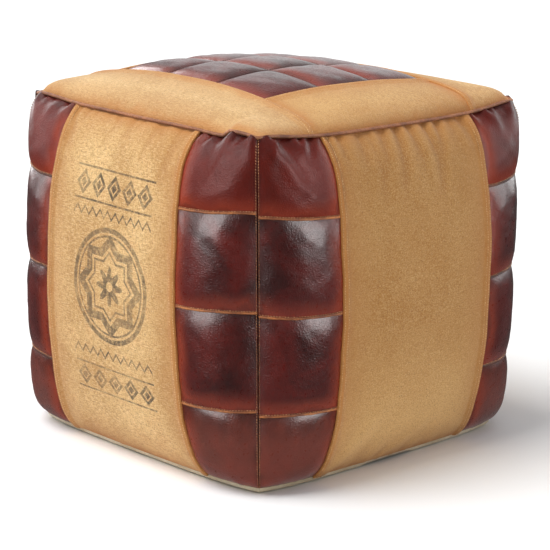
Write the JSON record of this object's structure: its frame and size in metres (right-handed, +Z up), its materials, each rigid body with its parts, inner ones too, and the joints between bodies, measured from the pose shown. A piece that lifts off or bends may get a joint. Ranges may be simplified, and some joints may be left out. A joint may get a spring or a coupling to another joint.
{
  "type": "moroccan leather pouf",
  "caption": "Stuffed cube floor pouf of quilted leather tiles and canvas panels with a piped top edge and a zipped base.",
  "frame": {"origin": "on the floor, under the middle of the base", "axes": "+Z up; -Y is the printed front face; +X is the viewer's right when facing the front, and the zip closes towards +X"},
  "size_m": [0.4686, 0.4686, 0.4168],
  "materials": {
    "leather": "glossy antiqued oxblood",
    "canvas": "matt washed cotton canvas",
    "piping": "covered cord",
    "calico": "undyed plain weave",
    "zip_tape": "woven tape",
    "zip_coil": "moulded coil",
    "zip_metal": "antique brass",
    "filling": "fibre wadding"
  },
  "bodies": {
    "cover": {"front_left_tile_4": "leather", "front_left_tile_3": "leather", "front_left_tile_2": "leather", "front_left_tile_1": "leather", "front_right_tile_4": "leather", "front_right_tile_3": "leather", "front_right_tile_2": "leather", "front_right_tile_1": "leather", "front_canvas_panel": "canvas", "right_left_tile_4": "leather", "right_left_tile_3": "leather", "right_left_tile_2": "leather", "right_left_tile_1": "leather", "right_right_tile_4": "leather", "right_right_tile_3": "leather", "right_right_tile_2": "leather", "right_right_tile_1": "leather", "right_canvas_panel": "canvas", "rear_left_tile_4": "leather", "rear_left_tile_3": "leather", "rear_left_tile_2": "leather", "rear_left_tile_1": "leather", "rear_right_tile_4": "leather", "rear_right_tile_3": "leather", "rear_right_tile_2": "leather", "rear_right_tile_1": "leather", "rear_canvas_panel": "canvas", "left_left_tile_4": "leather", "left_left_tile_3": "leather", "left_left_tile_2": "leather", "left_left_tile_1": "leather", "left_right_tile_4": "leather", "left_right_tile_3": "leather", "left_right_tile_2": "leather", "left_right_tile_1": "leather", "left_canvas_panel": "canvas", "top_tile_1_1": "leather", "top_tile_1_2": "leather", "top_tile_1_3": "leather", "top_tile_2_1": "leather", "top_tile_2_2": "leather", "top_tile_2_3": "leather", "top_tile_3_1": "leather", "top_tile_3_2": "leather", "top_tile_3_3": "leather", "top_strip_front": "canvas", "top_strip_rear": "canvas", "top_strip_left": "canvas", "top_strip_right": "canvas", "top_piping": "piping", "base_panel_front": "calico", "base_panel_rear": "calico", "zip_tape_front": "zip_tape", "zip_tape_rear": "zip_tape", "zip_coil_front": "zip_coil", "zip_coil_rear": "zip_coil", "inner_liner": "calico", "filling": "filling"},
    "zip_slider": {"zip_slider": "zip_metal"},
    "zip_pull": {"zip_pull": "zip_metal"}
  },
  "joints": [
    {"name": "zip_slide", "type": "slide", "parent": "cover", "child": "zip_slider", "axis": [-1, 0, 0], "range_m": [0, 0.28]},
    {"name": "zip_pull_hinge", "type": "hinge", "parent": "zip_slider", "child": "zip_pull", "pos_m": [0.14, 0, 0.0051], "axis": [0, 1, 0], "range_deg": [0, 175]}
  ]
}
